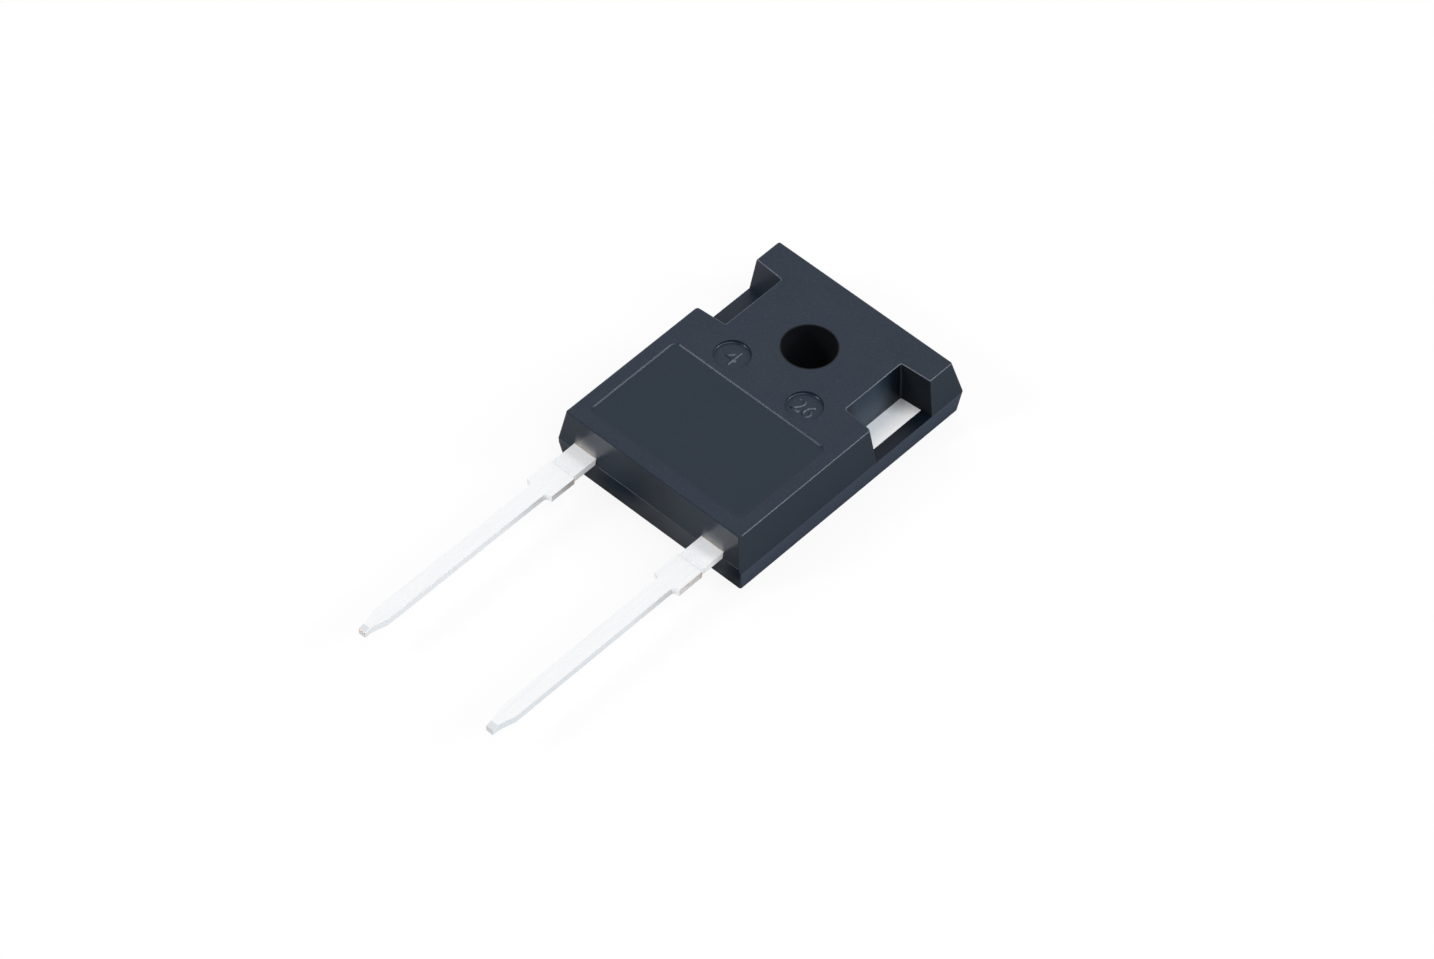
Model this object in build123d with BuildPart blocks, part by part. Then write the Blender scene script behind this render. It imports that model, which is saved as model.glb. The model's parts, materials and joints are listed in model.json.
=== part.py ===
"""Silicon carbide Schottky diode in a two-lead TO-247 package.

Frame, in millimetres: the origin is on the axis of the screw hole, in the heat-sink face. +Z points
up out of the marked face and +Y to the end with the screw hole, so the leads run towards -Y. Lead 1,
the cathode, is at -X and lead 2, the anode, at +X.
"""
import os
from math import radians, tan

from build123d import *

# ---------------------------------------------------------------- moulded body
body_length = 21.02             # over the parting lines of the two ends
body_width = 15.70              # over the parting lines of the two sides
body_height = 4.98              # heat-sink face to marked face
hole_to_far_end = 6.10          # screw hole's axis to the far end's parting line
hole_diameter = 3.66            # clears an M3.5 screw
side_draft_lower = 7.9          # degrees, below the side parting line
side_draft_upper = 8.1          # degrees, above it
front_draft_lower = 9.7         # lead end, below its parting line
front_draft_upper = 7.1         # lead end, above it
far_draft_lower = 3.5           # hole end, below its parting line
far_draft_upper = 15.2          # hole end, above it: the steepest face
corner_radius = 0.15            # upright corners of the moulding
top_edge_radius = 0.07          # rim of the marked face

# ---------------------------------------------------------------- side notches
notch_depth_top = 2.31          # side's top edge to the inner wall, in the marked face
notch_depth_shelf = 2.47        # side parting line to the inner wall, on the shelf
notch_far_top = 2.99            # hole's axis to the far end of the inner wall, in the marked face
notch_far_shelf = 2.87          # the same on the shelf
notch_near_top = 2.29           # hole's axis to the wall's lead-side end, in the marked face
notch_near_shelf = 1.92         # the same on the shelf: this end has the most draft
notch_flare = 4.1               # degrees that each end wall opens outwards
notch_inner_radius = 0.15       # between the inner wall and the end walls
notch_outer_radius = 0.24       # upright edge on the lead side of the notch

# ---------------------------------------------------------------- marked face
panel_width = 12.96             # recessed panel for the marking
panel_length = 8.05
panel_to_hole = 5.53            # screw hole's axis to the panel's far edge
panel_depth = 0.07
panel_corner_radius = 0.45
disc_diameter = 2.48            # ejector-pin marks
disc_spacing = 6.16
disc_to_hole = 3.885
disc_depth = 0.22

# ---------------------------------------------------------------- leads
lead_pitch = 10.88
lead_thickness = 0.56
lead_level = 2.41               # underside of the leads, and the lead end's parting line
lead_length = 19.90             # lead end's parting line to the tip
root_width = 1.87               # from the body to the cut of the tie bar
root_length = 2.03
collar_width = 2.11             # where the tie bar was cut through
collar_end = 4.12               # parting line to the shoulders
blade_width = 1.20
shoulder_radius = 0.28
taper_length = 1.15             # over which the blade narrows
taper_radius = 1.20
tip_width = 0.56
tip_length = 0.55               # narrowed end, past the taper
tip_bevel_length = 0.45
tip_bevel_depth = 0.12

# ---------------------------------------------------------------- heat-sink tab
tab_thickness = 1.95            # its top is level with the side parting line
tab_width = 13.74
tab_offset = 0.11               # the tab's middle stands this far to the anode side
tab_to_far_end = 1.20           # far end's parting line to the tab's far edge
tab_to_lead_end = 2.92          # lead end's parting line to the tab's near edge
tab_hole_diameter = 7.20        # filled with epoxy round the screw hole
tab_corner_chamfer = 0.60
lock_step_height = 0.80         # the exposed pad is coined smaller up to this height
lock_step_width = 0.25
groove_width = 0.60             # cross groove that grips the epoxy
groove_depth = 0.30
groove_to_hole = 5.20

# ---------------------------------------------------------------- inside the epoxy
neck_width = 2.40               # cathode lead inside the body
neck_foot = 0.30                # flat stretch next to the tab
neck_run = 1.05                 # stretch over which it climbs to the lead level
neck_bend_radius = 0.50
post_width = 8.40               # anode bond post
post_length = 2.30
post_inset = 0.75               # lead end's parting line to the post's near edge
post_corner_radius = 0.30
die_size = 3.60
die_thickness = 0.35
die_to_tab_edge = 3.80          # tab's near edge to the chip's centre
solder_thickness = 0.06
solder_margin = 0.15            # solder stands out this far round the chip
wire_count = 3
wire_diameter = 0.40
wire_spacing = 0.95
foot_length = 1.10              # wedge bond, flattened from the wire
foot_width = 0.56
foot_height = 0.32
foot_corner = 0.14
foot_past_die_centre = 0.60
wire_rise = 0.70                # loop's axis over the post
wire_angle = 45                 # degrees, how steeply the wire leaves its feet
wire_bend_radius = 0.60

# ---------------------------------------------------------------- worked-out places
far_y = hole_to_far_end
front_y = hole_to_far_end - body_length
half_width = body_width / 2
side_parting = tab_thickness
front_parting = lead_level
past = 1.0                      # a cutting shape reaches this far past what it cuts
tab_far_y = far_y - tab_to_far_end
tab_front_y = front_y + tab_to_lead_end
die_y = tab_front_y + die_to_tab_edge
cathode_x = -lead_pitch / 2
anode_x = lead_pitch / 2
inner_y = front_y + post_inset  # where a lead's blank begins, inside the body
tip_y = front_y - lead_length
lead_top = lead_level + lead_thickness
solder_top = tab_thickness + solder_thickness
die_top = solder_top + die_thickness


# ---------------------------------------------------------------- shared shapes
def drawn_back(height, draft):
    """How far a face with this draft moves back over this height."""
    return height * tan(radians(draft))


def is_upright(edge):
    """True for an edge that runs up the drafted walls of the moulding."""
    return abs(edge.tangent_at(0.5).Z) > 0.9


def tab_plan(level, smaller_by):
    """Outline of the heat-sink tab, with its two far corners cut off."""
    with BuildSketch(Plane.XY.offset(level)) as plan:
        with Locations((tab_offset, (tab_far_y + tab_front_y) / 2)):
            Rectangle(tab_width - 2 * smaller_by, tab_far_y - tab_front_y - 2 * smaller_by)
        chamfer(plan.vertices().group_by(Axis.Y)[-1], length=tab_corner_chamfer)
    return plan.sketch


def lead_plan(pin_x):
    """Outline of one lead, from inside the body to its narrowed tip."""
    collar_y = front_y - root_length
    shoulder_y = front_y - collar_end
    with BuildSketch(Plane((pin_x, 0, lead_level))) as plan:
        with BuildLine():
            Polyline(
                (0, inner_y),
                (root_width / 2, inner_y),
                (root_width / 2, collar_y),
                (collar_width / 2, collar_y),
                (collar_width / 2, shoulder_y),
                (blade_width / 2, shoulder_y),
                (blade_width / 2, tip_y + tip_length + taper_length),
                (tip_width / 2, tip_y + tip_length),
                (tip_width / 2, tip_y),
                (0, tip_y),
            )
            mirror(about=Plane.YZ)
        make_face()
        shoulders = plan.vertices().group_by(Axis.Y)[3]
        fillet(shoulders.sort_by(lambda corner: abs(corner.X))[:2], radius=shoulder_radius)
        rows = plan.vertices().group_by(Axis.Y)
        fillet(rows[1] + rows[2], radius=taper_radius)
    return plan.sketch


def tip_bevel(pin_x):
    """Wedge that a lead's top edge loses at the tip."""
    with BuildPart() as wedge:
        with BuildSketch(Plane.YZ.offset(pin_x)):
            Polygon(
                (tip_y, lead_top - tip_bevel_depth),
                (tip_y + tip_bevel_length, lead_top),
                (tip_y, lead_top),
                align=None,
            )
        extrude(amount=tip_width, both=True)
    return wedge.part


# ================================================================ pieces
# Heat-sink tab and cathode lead: one copper strip of two thicknesses. The thin end leaves the tab's
# front edge level with its top and is bent up to the plane of the leads.
with BuildPart() as cathode_tab:
    add(tab_plan(0, lock_step_width))
    extrude(amount=lock_step_height)
    add(tab_plan(lock_step_height, 0))
    extrude(amount=tab_thickness - lock_step_height)
    Hole(radius=tab_hole_diameter / 2)
    with Locations((tab_offset, -groove_to_hole, tab_thickness - groove_depth / 2)):
        Box(tab_width, groove_width, groove_depth, mode=Mode.SUBTRACT)
    neck_low = tab_thickness - lead_thickness / 2
    neck_high = lead_level + lead_thickness / 2
    neck_start_y = tab_front_y - neck_foot
    with BuildSketch(Plane.YZ.offset(cathode_x)):
        with BuildLine():
            FilletPolyline(
                (tab_front_y, neck_low),
                (neck_start_y, neck_low),
                (neck_start_y - neck_run, neck_high),
                (inner_y, neck_high),
                radius=neck_bend_radius,
            )
        trace(line_width=lead_thickness)
    extrude(amount=neck_width / 2, both=True)
    add(lead_plan(cathode_x))
    extrude(amount=lead_thickness)
    add(tip_bevel(cathode_x), mode=Mode.SUBTRACT)
cathode_tab.part.label = "cathode_tab"

# Anode lead, with the broad post inside the epoxy that the bond wires land on.
post_right_x = anode_x + root_width / 2
with BuildPart() as anode_lead:
    with BuildSketch(Plane.XY.offset(lead_level)) as post:
        with Locations((post_right_x - post_width / 2, inner_y + post_length / 2)):
            Rectangle(post_width, post_length)
        fillet(post.vertices(), radius=post_corner_radius)
    extrude(amount=lead_thickness)
    add(lead_plan(anode_x))
    extrude(amount=lead_thickness)
    add(tip_bevel(anode_x), mode=Mode.SUBTRACT)
anode_lead.part.label = "anode_lead"

# Solder layer and chip on the tab.
with BuildPart() as die_solder:
    with BuildSketch(Plane.XY.offset(tab_thickness)):
        with Locations((0, die_y)):
            Rectangle(die_size + 2 * solder_margin, die_size + 2 * solder_margin)
    extrude(amount=solder_thickness)
die_solder.part.label = "die_solder"

with BuildPart() as sic_die:
    with BuildSketch(Plane.XY.offset(solder_top)):
        with Locations((0, die_y)):
            Rectangle(die_size, die_size)
    extrude(amount=die_thickness)
sic_die.part.label = "sic_die"

# Aluminium bond wires: a wedge-bonded foot on the chip, a loop, and a foot on the anode post.
die_foot_y = die_y - foot_past_die_centre
post_foot_y = inner_y + post_length / 2
die_foot_z = die_top + foot_height / 2
post_foot_z = lead_top + foot_height / 2
loop_z = lead_top + wire_rise
die_run = (loop_z - die_foot_z) / tan(radians(wire_angle))
post_run = (loop_z - post_foot_z) / tan(radians(wire_angle))
bond_wires = []
for number in range(wire_count):
    wire_x = (number - (wire_count - 1) / 2) * wire_spacing
    with BuildPart() as bond_wire:
        for foot_y, foot_z in ((die_foot_y, die_top), (post_foot_y, lead_top)):
            with BuildSketch(Plane.XY.offset(foot_z)) as foot:
                with Locations((wire_x, foot_y)):
                    Rectangle(foot_width, foot_length)
                chamfer(foot.vertices(), length=foot_corner)
            extrude(amount=foot_height)
        with BuildLine(Plane.YZ.offset(wire_x)) as loop:
            FilletPolyline(
                (die_foot_y, die_foot_z),
                (die_foot_y - die_run, loop_z),
                (post_foot_y + post_run, loop_z),
                (post_foot_y, post_foot_z),
                radius=wire_bend_radius,
            )
        with BuildSketch(Plane(loop.line @ 0, z_dir=loop.line % 0)):
            Circle(wire_diameter / 2)
        sweep(path=loop.line)
    bond_wire.part.label = f"bond_wire_{number + 1}"
    bond_wires.append(bond_wire)

# Moulded body. Its section across the width is widest at the side parting line, and its section
# along the length at the lead end's higher parting line, so the line steps at the two front corners.
with BuildPart() as mould_body:
    upper_side_inset = drawn_back(body_height - side_parting, side_draft_upper)
    with BuildSketch(Plane.XZ):
        with BuildLine():
            Polyline(
                (0, 0),
                (half_width - drawn_back(side_parting, side_draft_lower), 0),
                (half_width, side_parting),
                (half_width - upper_side_inset, body_height),
                (0, body_height),
            )
            mirror(about=Plane.YZ)
        make_face()
    extrude(amount=body_length, both=True)
    with BuildSketch(Plane.YZ):
        Polygon(
            (front_y + drawn_back(front_parting, front_draft_lower), 0),
            (far_y - drawn_back(side_parting, far_draft_lower), 0),
            (far_y, side_parting),
            (far_y - drawn_back(body_height - side_parting, far_draft_upper), body_height),
            (front_y + drawn_back(body_height - front_parting, front_draft_upper), body_height),
            (front_y, front_parting),
            align=None,
        )
    extrude(amount=body_width, both=True, mode=Mode.INTERSECT)
    fillet(mould_body.edges().filter_by(is_upright), radius=corner_radius)

    # Side notches, down to the tab's top. Each wall has draft, and the end walls flare outwards.
    outer_x = half_width + past
    shelf_inner_x = half_width - notch_depth_shelf
    top_inner_x = half_width - upper_side_inset - notch_depth_top
    for side in (-1, 1):
        for level, inner_x, near, far in (
            (side_parting, shelf_inner_x, notch_near_shelf, notch_far_shelf),
            (body_height, top_inner_x, notch_near_top, notch_far_top),
        ):
            opening = drawn_back(outer_x - inner_x, notch_flare)
            with BuildSketch(Plane.XY.offset(level)) as notch:
                Polygon(
                    (side * inner_x, -near),
                    (side * outer_x, -near - opening),
                    (side * outer_x, far + opening),
                    (side * inner_x, far),
                    align=None,
                )
                inner_corners = notch.vertices().sort_by(lambda corner: abs(corner.X))[:2]
                fillet(inner_corners, radius=notch_inner_radius)
        loft(mode=Mode.SUBTRACT)
    lead_side = mould_body.edges().filter_by(is_upright).filter_by_position(
        Axis.Y, front_y + past, 0
    )
    notch_mouths = lead_side.sort_by(lambda edge: abs(edge.center().X))[-2:]
    fillet(notch_mouths, radius=notch_outer_radius)
    fillet(mould_body.faces().sort_by(Axis.Z)[-1].edges(), radius=top_edge_radius)

    # Screw hole, marking panel and the marks of the two ejector pins.
    Hole(radius=hole_diameter / 2)
    with BuildSketch(Plane.XY.offset(body_height)):
        with Locations((0, -panel_to_hole - panel_length / 2)):
            RectangleRounded(panel_width, panel_length, panel_corner_radius)
    extrude(amount=-panel_depth, mode=Mode.SUBTRACT)
    with BuildSketch(Plane.XY.offset(body_height)):
        with Locations((-disc_spacing / 2, -disc_to_hole), (disc_spacing / 2, -disc_to_hole)):
            Circle(disc_diameter / 2)
    extrude(amount=-disc_depth, mode=Mode.SUBTRACT)

    # The epoxy flows round everything inside and fills the tab's hole and groove.
    for inner in (cathode_tab, anode_lead, die_solder, sic_die, *bond_wires):
        add(inner.part, mode=Mode.SUBTRACT)
mould_body.part.label = "mould_body"

os.makedirs("parts", exist_ok=True)
for piece in (mould_body, cathode_tab, anode_lead, die_solder, sic_die, *bond_wires):
    export_step(piece.part, f"parts/{piece.part.label}.step")
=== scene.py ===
# %% [markdown]
# # A silicon carbide diode in a two-lead power package
#
# The object is a flat power diode: a dark moulded body with a screw hole, a notch in each long
# side, and two flat tinned leads. It lies on its heat-sink face. Its solids come from the packed
# model and stay where they are. This lesson gives them their finishes, adds the fine relief that a
# moulding tool and a press leave behind, and sets up the camera and a plain bright studio.

# %% Load the packed model
import json
import random
from math import cos, pi, radians, sin, tan

import bmesh
import bpy
from mathutils import Matrix, Vector

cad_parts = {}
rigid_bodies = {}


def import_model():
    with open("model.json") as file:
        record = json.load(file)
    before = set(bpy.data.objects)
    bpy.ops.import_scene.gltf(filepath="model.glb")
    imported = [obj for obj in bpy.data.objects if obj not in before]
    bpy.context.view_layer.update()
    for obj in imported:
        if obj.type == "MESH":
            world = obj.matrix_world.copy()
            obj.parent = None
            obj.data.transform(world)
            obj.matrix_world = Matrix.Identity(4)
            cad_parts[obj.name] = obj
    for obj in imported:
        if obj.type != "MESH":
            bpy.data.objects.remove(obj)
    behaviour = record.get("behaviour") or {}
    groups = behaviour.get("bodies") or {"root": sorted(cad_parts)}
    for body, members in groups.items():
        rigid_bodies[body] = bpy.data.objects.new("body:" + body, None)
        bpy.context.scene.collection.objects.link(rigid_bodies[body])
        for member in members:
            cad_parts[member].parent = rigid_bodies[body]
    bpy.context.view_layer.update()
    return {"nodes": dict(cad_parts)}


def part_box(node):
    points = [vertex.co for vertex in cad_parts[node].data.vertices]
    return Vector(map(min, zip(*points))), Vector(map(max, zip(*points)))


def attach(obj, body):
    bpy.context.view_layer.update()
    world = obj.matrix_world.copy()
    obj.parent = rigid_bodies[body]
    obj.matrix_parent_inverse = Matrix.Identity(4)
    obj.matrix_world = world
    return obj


for left_over in list(bpy.data.objects):
    bpy.data.objects.remove(left_over)
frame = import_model()
nodes = frame["nodes"]
MM = 0.001

# %% [markdown]
# ## Where things are
# Fine pieces and finishes have to sit exactly on the solids. Their places could be typed in, but
# then they would be wrong after any change, so the main ones are read from the packed meshes. The
# boxes give the ends of the body and the leads. The flat faces of the moulding give the heights of
# its marked face, of the panel that is sunk into it, and of the two ejector marks beside the screw
# hole: a face that looks straight up has a normal of (0, 0, 1).

# %% Read the body's ends and the levels of its flat faces
body_low, body_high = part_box("mould_body")
tab_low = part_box("cathode_tab")[0]
front_y, tip_y = body_low.y, tab_low.y


def upward_faces(mesh):
    """The mesh's level faces that look up, as {height: their corners}, highest first."""
    found = {}
    for face in mesh.polygons:
        if face.normal.z > 0.9999:
            corners = [mesh.vertices[index].co for index in face.vertices]
            found.setdefault(round(face.center.z / MM, 3) * MM, []).extend(corners)
    return dict(sorted(found.items(), reverse=True))


def span(corners):
    """The lowest and the highest corner of some points."""
    low = Vector([min(point[axis] for point in corners) for axis in range(3)])
    high = Vector([max(point[axis] for point in corners) for axis in range(3)])
    return low, high


levels = upward_faces(nodes["mould_body"].data)
face_z, panel_z, disc_z = list(levels)[:3]
face_low = span(levels[face_z])[0]
panel_low, panel_high = span(levels[panel_z])
discs = [span([p for p in levels[disc_z] if p.x * side > 0]) for side in (-1, 1)]
print("marked face, panel, ejector marks at", [round(z / MM, 2) for z in (face_z, panel_z, disc_z)], "mm")
print("ejector marks' centres", [[round(v / MM, 2) for v in (low + high) / 2] for low, high in discs])

# %% [markdown]
# The leads are wider where the tie bar of the leadframe was cut away. That stretch carries a bare
# copper edge and a faint line across the top, so its two ends are measured here too. Both leads
# have the same outline, so one of them is enough.

# %% Read the places along the leads
lead_low, lead_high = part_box("anode_lead")
lead_bottom, lead_top = lead_low.z, lead_high.z
clear_of_body, near_tip, same_edge = 0.2 * MM, 0.01 * MM, 0.02 * MM
outside = [v.co for v in nodes["anode_lead"].data.vertices if v.co.y < front_y - clear_of_body]
tip_points = [p for p in outside if p.y < tip_y + near_tip]
lead_x = sum(p.x for p in tip_points) / len(tip_points)
collar_half = max(p.x for p in outside) - lead_x
collar_low, collar_high = span([p for p in outside if p.x - lead_x > collar_half - same_edge])
tie_bar_y, shoulder_y = collar_high.y, collar_low.y
root_half = max(p.x - lead_x for p in outside if p.x - lead_x < collar_half - same_edge)
print("leads at x", round(lead_x / MM, 2), "mm on each side of the middle")
print("cut edge from", round(tie_bar_y / MM, 2), "to", round(shoulder_y / MM, 2), "mm")

# %% [markdown]
# ## Camera
# A long lens from well above, with the set a little rolled, as product tables are usually shot. The
# camera could be turned with angles, but their order is easy to get wrong. It is built from its own
# three axes instead: backwards, right and up. Rolling turns the last two about the first.

# %% Make the camera
azimuth, elevation, roll = radians(41.0077), radians(50.0495), radians(2.2226)
aim = Vector((1.8469, -10.5479, 2.5)) * MM
distance = 424.179 * MM
backwards = Vector((sin(azimuth) * cos(elevation), -cos(azimuth) * cos(elevation), sin(elevation)))
level_right = Vector((cos(azimuth), sin(azimuth), 0))
level_up = backwards.cross(level_right)
right = level_right * cos(roll) + level_up * sin(roll)
up = level_up * cos(roll) - level_right * sin(roll)

camera = bpy.data.objects.new("camera", bpy.data.cameras.new("camera"))
bpy.context.scene.collection.objects.link(camera)
camera.data.lens = 169.82
camera.data.sensor_width = 36
camera.data.clip_start = 0.01
camera.data.clip_end = 20
turned = Matrix((right, up, backwards)).transposed().to_4x4()
camera.matrix_world = Matrix.Translation(aim + backwards * distance) @ turned
bpy.context.scene.camera = camera
print("camera stands at", [round(v / MM, 1) for v in camera.location], "mm")

# %% [markdown]
# ## A short way to write materials
# A node material is a chain of small steps. Written out in full, each step takes several lines, so
# a little helper adds a node, sets it and joins it in one call. The recipes below then read from
# top to bottom: where on the object, which pattern, which colour, how rough. A place is written as
# a mask, which is 1 on the place and 0 elsewhere. Masks are made from where a point lies on the
# object and from the way its surface faces, so they stay put from every side.

# %% The helper for node recipes
class Recipe:
    """Builds one material. Its methods add nodes and give back the socket that carries the result."""

    def __init__(self, name):
        """Starts a material and finds where a point lies on the object and which way it faces."""
        self.material = bpy.data.materials.new(name)
        self.material.use_nodes = True
        self.tree = self.material.node_tree
        self.shader = self.tree.nodes["Principled BSDF"]
        self.where = self.node("ShaderNodeTexCoord").outputs["Object"]
        self.x, self.y, self.z = self.node("ShaderNodeSeparateXYZ", {0: self.where}).outputs
        normal = self.node("ShaderNodeNewGeometry").outputs["Normal"]
        self.facing_x, self.facing_y, self.facing_z = self.node("ShaderNodeSeparateXYZ", {0: normal}).outputs

    def put(self, socket, value):
        """Joins the socket to another one, or sets it to a constant."""
        if isinstance(value, bpy.types.NodeSocket):
            self.tree.links.new(value, socket)
        else:
            socket.default_value = value

    def set(self, name, value):
        """Sets one of the shader's own sockets."""
        self.put(self.shader.inputs[name], value)

    def node(self, kind, inputs=None, **settings):
        made = self.tree.nodes.new(kind)
        for name, value in settings.items():
            setattr(made, name, value)
        for name, value in (inputs or {}).items():
            self.put(made.inputs[name], value)
        return made

    def math(self, operation, a, b=0.0):
        return self.node("ShaderNodeMath", {0: a, 1: b}, operation=operation).outputs[0]

    def plus(self, first, second):
        return self.math("ADD", first, second)

    def minus(self, first, second):
        return self.math("SUBTRACT", first, second)

    def size(self, value):
        """The value without its sign, so both sides of the middle count the same."""
        return self.math("ABSOLUTE", value)

    def times(self, first, *others):
        """The product: for masks, where all of them hold."""
        for other in others:
            first = self.math("MULTIPLY", first, other)
        return first

    def most(self, first, *others):
        """The highest value: for masks, where any of them holds."""
        for other in others:
            first = self.math("MAXIMUM", first, other)
        return first

    def apart_from(self, mask):
        return self.minus(1.0, mask)

    def length(self, first, second):
        """The distance that two steps at right angles cover together."""
        squares = self.plus(self.times(first, first), self.times(second, second))
        return self.math("SQRT", squares)

    def ramp(self, value, low, high, to_low=0.0, to_high=1.0):
        """Runs from to_low to to_high while the value runs from low to high, and stays there."""
        inputs = {"Value": value, "From Min": low, "From Max": high, "To Min": to_low, "To Max": to_high}
        return self.node("ShaderNodeMapRange", inputs).outputs["Result"]

    def between(self, value, low, high, soft):
        """1 where the value lies between the two, fading to 0 over a soft margin outside them."""
        rise = self.ramp(value, low - soft, low)
        fall = self.ramp(value, high, high + soft, 1.0, 0.0)
        return self.times(rise, fall)

    def mix(self, share, first, second):
        """A colour on the way from the first to the second."""
        made = self.node("ShaderNodeMix", data_type="RGBA", blend_type="MIX")
        for index, value in ((0, share), (6, first), (7, second)):
            self.put(made.inputs[index], value)
        return made.outputs[2]

    def blend(self, share, first, second):
        """A number on the way from the first to the second."""
        made = self.node("ShaderNodeMix", data_type="FLOAT")
        for index, value in ((0, share), (2, first), (3, second)):
            self.put(made.inputs[index], value)
        return made.outputs[0]

    def paint(self, under, mask, over, share=1.0):
        """Lays a colour over another one where the mask holds, and lets some of it show through."""
        return self.mix(mask if share == 1.0 else self.times(mask, share), under, over)

    def noise(self, scale, detail=2.0, roughness=0.5, stretch=(1, 1, 1)):
        place = self.node("ShaderNodeVectorMath", {0: self.where, 1: stretch}, operation="MULTIPLY")
        inputs = {"Vector": place.outputs[0], "Scale": scale, "Detail": detail, "Roughness": roughness}
        return self.node("ShaderNodeTexNoise", inputs).outputs["Fac"]

    def surface(self, tone, roughness, height, depth, rounding):
        """Joins colour, roughness and a bump of this depth to the shader, with softly rounded edges."""
        relief = {"Height": height, "Distance": depth, "Strength": 1.0}
        if rounding:
            relief["Normal"] = self.node("ShaderNodeBevel", {"Radius": rounding}, samples=8).outputs[0]
        self.set("Base Color", tone)
        self.set("Roughness", roughness)
        self.set("Normal", self.node("ShaderNodeBump", relief).outputs[0])


def colour(red, green, blue):
    return (red, green, blue, 1.0)


print("steps to write recipes with:", ", ".join(name for name in vars(Recipe) if name[0] != "_"))

# %% [markdown]
# ## Mould compound
# The body is epoxy filled with ground silica, pressed into a steel tool. It comes out a dark
# blue-grey with a fine satin skin: tiny specks of filler, a soft mottle a couple of millimetres
# across, and no grain direction. A drawn pattern could be wrapped round it, but noise in the
# object's own metres needs no unwrapping, has no seams and keeps the grain the right size.

# %% Mould compound: plain skin
mould = Recipe("mould_compound_finish")
grain = mould.noise(9000, 3, 0.6)
specks = mould.ramp(mould.noise(5200, 1), 0.60, 0.74)
mottle = mould.ramp(mould.noise(380, 3), 0.35, 0.65)
tint = mould.ramp(mould.noise(210, 2), 0.40, 0.62)
filler_share = mould.ramp(grain, 0.35, 0.75, 0.0, 0.36)

resin_deep, resin_full = colour(0.0118, 0.0208, 0.0352), colour(0.0150, 0.0248, 0.0400)
resin_warm = colour(0.0152, 0.0226, 0.0396)
filler, filler_speck = colour(0.0370, 0.0480, 0.0660), colour(0.0750, 0.0850, 0.1000)
skin = mould.mix(mottle, resin_deep, resin_full)
skin = mould.paint(skin, tint, resin_warm)
skin = mould.paint(skin, filler_share, filler)
skin = mould.paint(skin, specks, filler_speck, share=0.15)
print("mould compound, plain skin:", len(mould.tree.nodes), "nodes")

# %% [markdown]
# Each wall of the tool leaves its own skin. The marking panel was polished and comes out smoother
# and a shade darker. The drafted outer sides are spark-eroded and duller, and a shade darker in
# colour. Below the parting line, where the sides lean in and look down, they are painted paler: a
# painted reflection of the bright floor. The wall of the screw hole is painted nearly black: painted
# shade, as little light reaches into the hole.

# %% Mould compound: panel, outer sides and screw hole
in_panel = mould.times(
    mould.between(mould.x, panel_low.x, panel_high.x, 0.03 * MM),
    mould.between(mould.y, panel_low.y, panel_high.y, 0.03 * MM),
    mould.between(mould.z, panel_z - 0.02 * MM, panel_z + 0.02 * MM, 0.02 * MM),
)
across = mould.size(mould.x)
on_wall = mould.ramp(mould.size(mould.facing_z), 0.45, 0.30)
side_from, side_to = 7.25 * MM, 7.35 * MM
facing_out = mould.ramp(mould.size(mould.facing_x), 0.8, 0.95)
outer_side = mould.times(on_wall, mould.ramp(across, side_from, side_to), facing_out)
looks_down = mould.ramp(mould.facing_z, -0.02, -0.10)
hole_rim, hole_wall = 1.95 * MM, 1.86 * MM
in_hole = mould.ramp(mould.length(mould.x, mould.y), hole_rim, hole_wall)

polished_skin, outer_side_skin = colour(0.0095, 0.0195, 0.0330), colour(0.0095, 0.0180, 0.0312)
painted_floor_reflection_skin, painted_hole_shade = colour(0.0300, 0.0460, 0.0760), colour(0.0010, 0.0012, 0.0020)
skin = mould.paint(skin, in_panel, polished_skin, share=0.75)
# the outer sides are given a darker colour here
skin = mould.paint(skin, outer_side, outer_side_skin, share=0.90)
# painted reflection: the outer sides are painted paler where they look down at the floor
skin = mould.paint(skin, mould.times(outer_side, looks_down), painted_floor_reflection_skin, share=0.85)
# painted shade: the wall of the screw hole is painted nearly black
skin = mould.paint(skin, in_hole, painted_hole_shade, share=0.90)
print("panel is", [round(v / MM, 2) for v in (panel_high - panel_low)[:2]], "mm across its floor")

# %% [markdown]
# The wall at the lead end is polished as well, and painted darker: painted shade, darkest between
# the leads and beside the right one. Over each lead it carries a pale haze: a painted reflection,
# the soft image of the bright lead in the satin wall. The haze is strongest at the lead and is gone
# little more than a millimetre above it. The third power of a plain ramp gives it that fall.

# %% Mould compound: lead end
end_from, end_to = front_y + 1.0 * MM, front_y + 0.8 * MM
facing_front = mould.ramp(mould.facing_y, -0.80, -0.90)
lead_end = mould.times(on_wall, facing_front, mould.ramp(mould.y, end_from, end_to))
between_leads = mould.ramp(across, 2.8 * MM, 1.2 * MM, 0.0, 0.6)
beside_right_lead = mould.ramp(mould.x, 6.3 * MM, 6.8 * MM)

haze_height, right_haze = 1.30 * MM, 0.71
over_lead = mould.minus(mould.size(mould.minus(across, lead_x)), root_half)
haze = mould.times(
    lead_end,
    mould.math("POWER", mould.ramp(mould.z, lead_top + haze_height, lead_top), 3),
    mould.ramp(over_lead, 0.06 * MM, -0.25 * MM),
    mould.ramp(mould.z, lead_top - 0.02 * MM, lead_top),
    mould.ramp(mould.x, -1 * MM, 1 * MM, 1.0, right_haze),
)

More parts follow.
